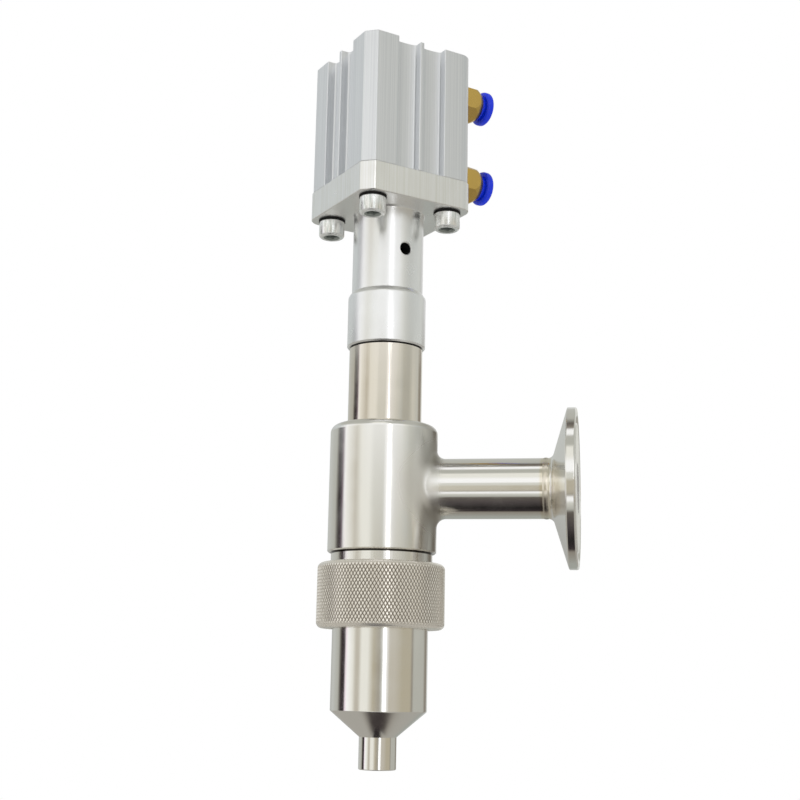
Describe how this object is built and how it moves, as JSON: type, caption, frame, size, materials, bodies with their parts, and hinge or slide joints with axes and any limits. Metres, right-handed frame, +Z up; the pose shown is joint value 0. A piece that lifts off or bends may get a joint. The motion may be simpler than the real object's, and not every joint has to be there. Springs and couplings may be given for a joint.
{
  "type": "filling nozzle",
  "caption": "Anti-drip filling nozzle: ribbed air cylinder on a stem tube lifts a plug from the spout; side inlet with clamp ferrule, knurled union nut, conical spout.",
  "frame": {"origin": "centre of the spout's lip, on the nozzle's axis", "axes": "+Z up the nozzle's axis towards the air cylinder, +X along the inlet branch and out of its face"},
  "size_m": [0.0885, 0.0538, 0.2323],
  "materials": {
    "anodised_aluminium": "satin natural anodised extrusion",
    "turned_aluminium": "turned and milled, satin",
    "cap_aluminium": "turned",
    "turned_stainless": "fine turned and polished",
    "knurled_stainless": "diamond knurled",
    "plated_screw": "bright zinc plated",
    "black_washer": "black oxide",
    "spring_steel": "phosphated spring steel",
    "bronze": "sintered bronze",
    "turned_brass": "turned and milled brass",
    "blue_plastic": "moulded, glossy",
    "white_ptfe": "machined, matte",
    "seal_rubber": "moulded, food grade",
    "black_rubber": "moulded"
  },
  "bodies": {
    "housing": {"cylinder_barrel": "anodised_aluminium", "front_cap": "cap_aluminium", "front_cap_ring": "black_rubber", "front_circlip": "spring_steel", "rod_bush": "bronze", "rod_seal": "black_rubber", "rear_cap": "cap_aluminium", "rear_cap_ring": "black_rubber", "rear_circlip": "spring_steel", "adapter": "turned_aluminium", "cap_screws": "plated_screw", "screw_washers": "black_washer", "stem_tube": "turned_stainless", "gland_spacer": "turned_stainless", "stem_guide_bush": "white_ptfe", "stem_o_rings": "seal_rubber", "bush_o_ring": "seal_rubber", "valve_body": "turned_stainless", "inlet_pipe": "turned_stainless", "inlet_ferrule": "turned_stainless", "upper_fitting": "turned_brass", "upper_port_seal": "white_ptfe", "upper_tube_ring": "black_rubber", "upper_grab_ring": "spring_steel", "lower_fitting": "turned_brass", "lower_port_seal": "white_ptfe", "lower_tube_ring": "black_rubber", "lower_grab_ring": "spring_steel"},
    "stem": {"piston": "cap_aluminium", "piston_seal": "black_rubber", "wear_ring": "white_ptfe", "front_bumper": "black_rubber", "rear_bumper": "black_rubber", "piston_screw": "plated_screw", "piston_rod": "turned_stainless", "lock_nut": "turned_stainless", "valve_stem": "turned_stainless", "stem_plug": "white_ptfe", "plug_o_ring": "seal_rubber"},
    "nozzle": {"nozzle_body": "turned_stainless", "nozzle_seal": "white_ptfe"},
    "nut": {"union_nut": "knurled_stainless"},
    "upper_collar": {"upper_release_collar": "blue_plastic"},
    "lower_collar": {"lower_release_collar": "blue_plastic"}
  },
  "joints": [
    {"name": "stem_lift", "type": "slide", "parent": "housing", "child": "stem", "axis": [0, 0, 1], "range_m": [0, 0.015]},
    {"name": "nozzle_drop", "type": "slide", "parent": "housing", "child": "nozzle", "axis": [0, 0, -1], "range_m": [0, 0.009]},
    {"name": "nut_turn", "type": "hinge", "parent": "nozzle", "child": "nut", "pos_m": [0, 0, 0.05245], "axis": [0, 0, -1], "range_deg": [0, 2160]},
    {"name": "upper_collar_press", "type": "slide", "parent": "housing", "child": "upper_collar", "axis": [-0.7638, -0.6455, 0], "range_m": [0, 0.0012], "stiffness_N_per_m": 200},
    {"name": "lower_collar_press", "type": "slide", "parent": "housing", "child": "lower_collar", "axis": [-0.7638, -0.6455, 0], "range_m": [0, 0.0012], "stiffness_N_per_m": 200}
  ],
  "couplings": [
    {"joint": "nut_turn", "follows": "nozzle_drop", "rad_per_m": 4188.8}
  ]
}
